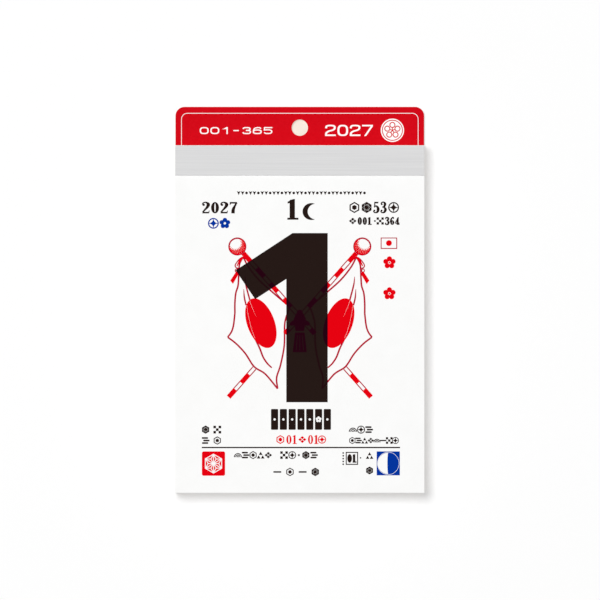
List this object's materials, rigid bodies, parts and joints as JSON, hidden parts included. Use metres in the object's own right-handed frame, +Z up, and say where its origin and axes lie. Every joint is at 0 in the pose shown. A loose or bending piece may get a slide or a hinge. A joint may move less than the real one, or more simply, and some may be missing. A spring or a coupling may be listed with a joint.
{
  "type": "tear-off day calendar",
  "caption": "Wall-hung day calendar: a pad of thin paper sheets stapled to a backing board under a folded tin strip; each sheet is pulled down and out as its day ends.",
  "frame": {"origin": "centre of the hanging hole, on the back of the backing board, against the wall", "axes": "+Z up, +Y back into the wall along the hanging hole, so the pages face -Y, and +X to the right as the pages are read"},
  "size_m": [0.128, 0.0243, 0.1985],
  "materials": {
    "grey_board": "matt grey board",
    "printed_facing": "varnished red print",
    "end_card": "matt kraft card",
    "tin_strip": "satin grey",
    "staple_wire": "bright drawn wire",
    "sheet_paper": "smooth thin white paper"
  },
  "bodies": {
    "backing": {"backing_board": "grey_board", "printed_facing": "printed_facing", "end_card": "end_card", "binding_strip": "tin_strip", "binding_staples": "staple_wire"},
    "day_sheet_01_held_edge": {"day_sheet_01_held_edge": "sheet_paper"},
    "day_sheet_01_leaf": {"day_sheet_01_leaf": "sheet_paper"},
    "day_sheet_02": {"day_sheet_02": "sheet_paper"},
    "day_sheet_03": {"day_sheet_03": "sheet_paper"},
    "day_sheet_04": {"day_sheet_04": "sheet_paper"},
    "day_sheet_05": {"day_sheet_05": "sheet_paper"},
    "day_sheet_06": {"day_sheet_06": "sheet_paper"},
    "day_sheet_07": {"day_sheet_07": "sheet_paper"},
    "january_sheets": {"january_sheets": "sheet_paper"},
    "february_sheets": {"february_sheets": "sheet_paper"},
    "march_sheets": {"march_sheets": "sheet_paper"},
    "april_sheets": {"april_sheets": "sheet_paper"},
    "may_sheets": {"may_sheets": "sheet_paper"},
    "june_sheets": {"june_sheets": "sheet_paper"},
    "july_sheets": {"july_sheets": "sheet_paper"},
    "august_sheets": {"august_sheets": "sheet_paper"},
    "september_sheets": {"september_sheets": "sheet_paper"},
    "october_sheets": {"october_sheets": "sheet_paper"},
    "november_sheets": {"november_sheets": "sheet_paper"},
    "december_sheets": {"december_sheets": "sheet_paper"}
  },
  "joints": [
    {"name": "day_sheet_01_pull", "type": "slide", "parent": "backing", "child": "day_sheet_01_held_edge", "axis": [0, 0, -1], "range_m": [0, 0.1797]},
    {"name": "day_sheet_01_lift", "type": "hinge", "parent": "day_sheet_01_held_edge", "child": "day_sheet_01_leaf", "pos_m": [0, -0.02337, -0.026], "axis": [-1, 0, 0], "range_deg": [0, 140]},
    {"name": "day_sheet_02_pull", "type": "slide", "parent": "backing", "child": "day_sheet_02", "axis": [0, 0, -1], "range_m": [0, 0.1797]},
    {"name": "day_sheet_03_pull", "type": "slide", "parent": "backing", "child": "day_sheet_03", "axis": [0, 0, -1], "range_m": [0, 0.1797]},
    {"name": "day_sheet_04_pull", "type": "slide", "parent": "backing", "child": "day_sheet_04", "axis": [0, 0, -1], "range_m": [0, 0.1797]},
    {"name": "day_sheet_05_pull", "type": "slide", "parent": "backing", "child": "day_sheet_05", "axis": [0, 0, -1], "range_m": [0, 0.1797]},
    {"name": "day_sheet_06_pull", "type": "slide", "parent": "backing", "child": "day_sheet_06", "axis": [0, 0, -1], "range_m": [0, 0.1797]},
    {"name": "day_sheet_07_pull", "type": "slide", "parent": "backing", "child": "day_sheet_07", "axis": [0, 0, -1], "range_m": [0, 0.1797]},
    {"name": "january_sheets_pull", "type": "slide", "parent": "backing", "child": "january_sheets", "axis": [0, 0, -1], "range_m": [0, 0.1797]},
    {"name": "february_sheets_pull", "type": "slide", "parent": "backing", "child": "february_sheets", "axis": [0, 0, -1], "range_m": [0, 0.1797]},
    {"name": "march_sheets_pull", "type": "slide", "parent": "backing", "child": "march_sheets", "axis": [0, 0, -1], "range_m": [0, 0.1797]},
    {"name": "april_sheets_pull", "type": "slide", "parent": "backing", "child": "april_sheets", "axis": [0, 0, -1], "range_m": [0, 0.1797]},
    {"name": "may_sheets_pull", "type": "slide", "parent": "backing", "child": "may_sheets", "axis": [0, 0, -1], "range_m": [0, 0.1797]},
    {"name": "june_sheets_pull", "type": "slide", "parent": "backing", "child": "june_sheets", "axis": [0, 0, -1], "range_m": [0, 0.1797]},
    {"name": "july_sheets_pull", "type": "slide", "parent": "backing", "child": "july_sheets", "axis": [0, 0, -1], "range_m": [0, 0.1797]},
    {"name": "august_sheets_pull", "type": "slide", "parent": "backing", "child": "august_sheets", "axis": [0, 0, -1], "range_m": [0, 0.1797]},
    {"name": "september_sheets_pull", "type": "slide", "parent": "backing", "child": "september_sheets", "axis": [0, 0, -1], "range_m": [0, 0.1797]},
    {"name": "october_sheets_pull", "type": "slide", "parent": "backing", "child": "october_sheets", "axis": [0, 0, -1], "range_m": [0, 0.1797]},
    {"name": "november_sheets_pull", "type": "slide", "parent": "backing", "child": "november_sheets", "axis": [0, 0, -1], "range_m": [0, 0.1797]},
    {"name": "december_sheets_pull", "type": "slide", "parent": "backing", "child": "december_sheets", "axis": [0, 0, -1], "range_m": [0, 0.1797]}
  ]
}
